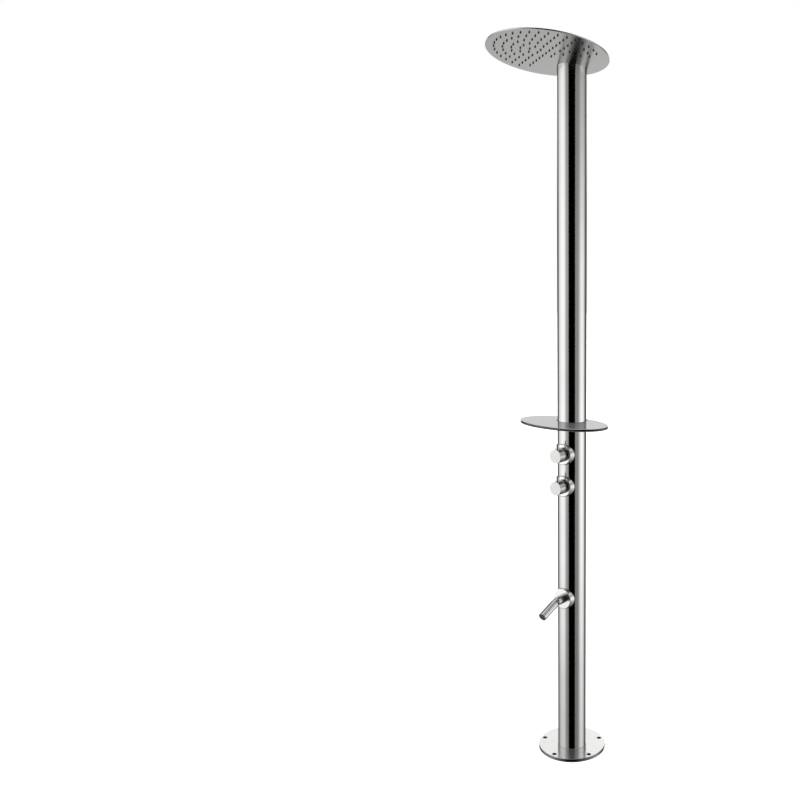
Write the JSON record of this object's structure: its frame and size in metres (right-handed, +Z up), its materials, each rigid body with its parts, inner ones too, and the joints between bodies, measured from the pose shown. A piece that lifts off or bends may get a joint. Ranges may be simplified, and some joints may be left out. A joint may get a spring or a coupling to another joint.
{
  "type": "outdoor shower post",
  "caption": "Free-standing round shower column on a bolted flange, with a slanted rain head, an oval shelf, quarter-turn knob taps and a swivelling foot-wash spout.",
  "frame": {"origin": "post axis at the underside of the base flange, where the post stands on the floor", "axes": "+Z up along the post, -Y to the front, where the taps, the foot spout and the rain head point, +X to the left of a person who faces the taps from the front"},
  "size_m": [0.352, 0.3931, 2.1585],
  "materials": {
    "polished_steel": "polished stainless steel tube",
    "brushed_flange": "finely brushed stainless steel plate",
    "brushed_head": "brushed stainless steel sheet",
    "turned_steel": "turned and brushed stainless steel",
    "spun_knob": "turned stainless steel with a spun face",
    "shelf_plate": "satin plate with a dark edge",
    "valve_brass": "machined brass",
    "water_pipe": "drawn stainless steel pipe",
    "black_rubber": "moulded rubber",
    "nozzle_rubber": "moulded dark silicone",
    "cartridge_plastic": "moulded plastic",
    "ceramic": "lapped ceramic",
    "seat_plastic": "turned slippery plastic",
    "aerator_plastic": "moulded dark plastic",
    "screw_steel": "dark stainless screw"
  },
  "bodies": {
    "column": {"base_flange": "brushed_flange", "post_tube": "polished_steel", "upper_boss": "turned_steel", "lower_boss": "turned_steel", "foot_boss": "turned_steel", "upper_tap_body": "valve_brass", "lower_tap_body": "valve_brass", "foot_elbow": "valve_brass", "body_nuts": "valve_brass", "upper_cartridge": "cartridge_plastic", "lower_cartridge": "cartridge_plastic", "cartridge_seals": "black_rubber", "fixed_discs": "ceramic", "inlet_connector": "valve_brass", "inlet_nut": "valve_brass", "supply_pipe": "water_pipe", "link_pipe": "water_pipe", "foot_pipe": "water_pipe", "riser_pipe": "water_pipe", "head_inlet": "valve_brass", "riser_nut": "valve_brass", "riser_washer": "black_rubber", "head_plate": "brushed_head", "head_cover": "brushed_head", "head_seal": "black_rubber", "nozzles": "nozzle_rubber", "shelf": "shelf_plate", "shelf_ring": "black_rubber", "shelf_pegs": "turned_steel", "foot_stub": "turned_steel", "ball_seal": "black_rubber", "ball_retainer": "turned_steel"},
    "upper_tap": {"upper_knob": "spun_knob", "upper_lever": "turned_steel", "upper_grub_screw": "screw_steel", "upper_spindle": "valve_brass", "upper_turning_disc": "ceramic"},
    "lower_tap": {"lower_knob": "spun_knob", "lower_lever": "turned_steel", "lower_grub_screw": "screw_steel", "lower_spindle": "valve_brass", "lower_turning_disc": "ceramic"},
    "spout_swivel": {"ball_seat": "seat_plastic"},
    "spout": {"spout_ball": "polished_steel", "spout_tube": "turned_steel", "aerator": "aerator_plastic"}
  },
  "joints": [
    {"name": "upper_tap_turn", "type": "hinge", "parent": "column", "child": "upper_tap", "pos_m": [0, -0.07, 0.959], "axis": [0, -1, 0], "range_deg": [0, 90]},
    {"name": "lower_tap_turn", "type": "hinge", "parent": "column", "child": "lower_tap", "pos_m": [0, -0.07, 0.86], "axis": [0, -1, 0], "range_deg": [0, 90]},
    {"name": "spout_swivel", "type": "hinge", "parent": "column", "child": "spout_swivel", "pos_m": [0, -0.0785, 0.504], "axis": [0, -1, 0], "continuous": true},
    {"name": "spout_tilt", "type": "hinge", "parent": "spout_swivel", "child": "spout", "pos_m": [0, -0.0785, 0.504], "axis": [-1, 0, 0], "range_deg": [0, 43]}
  ]
}
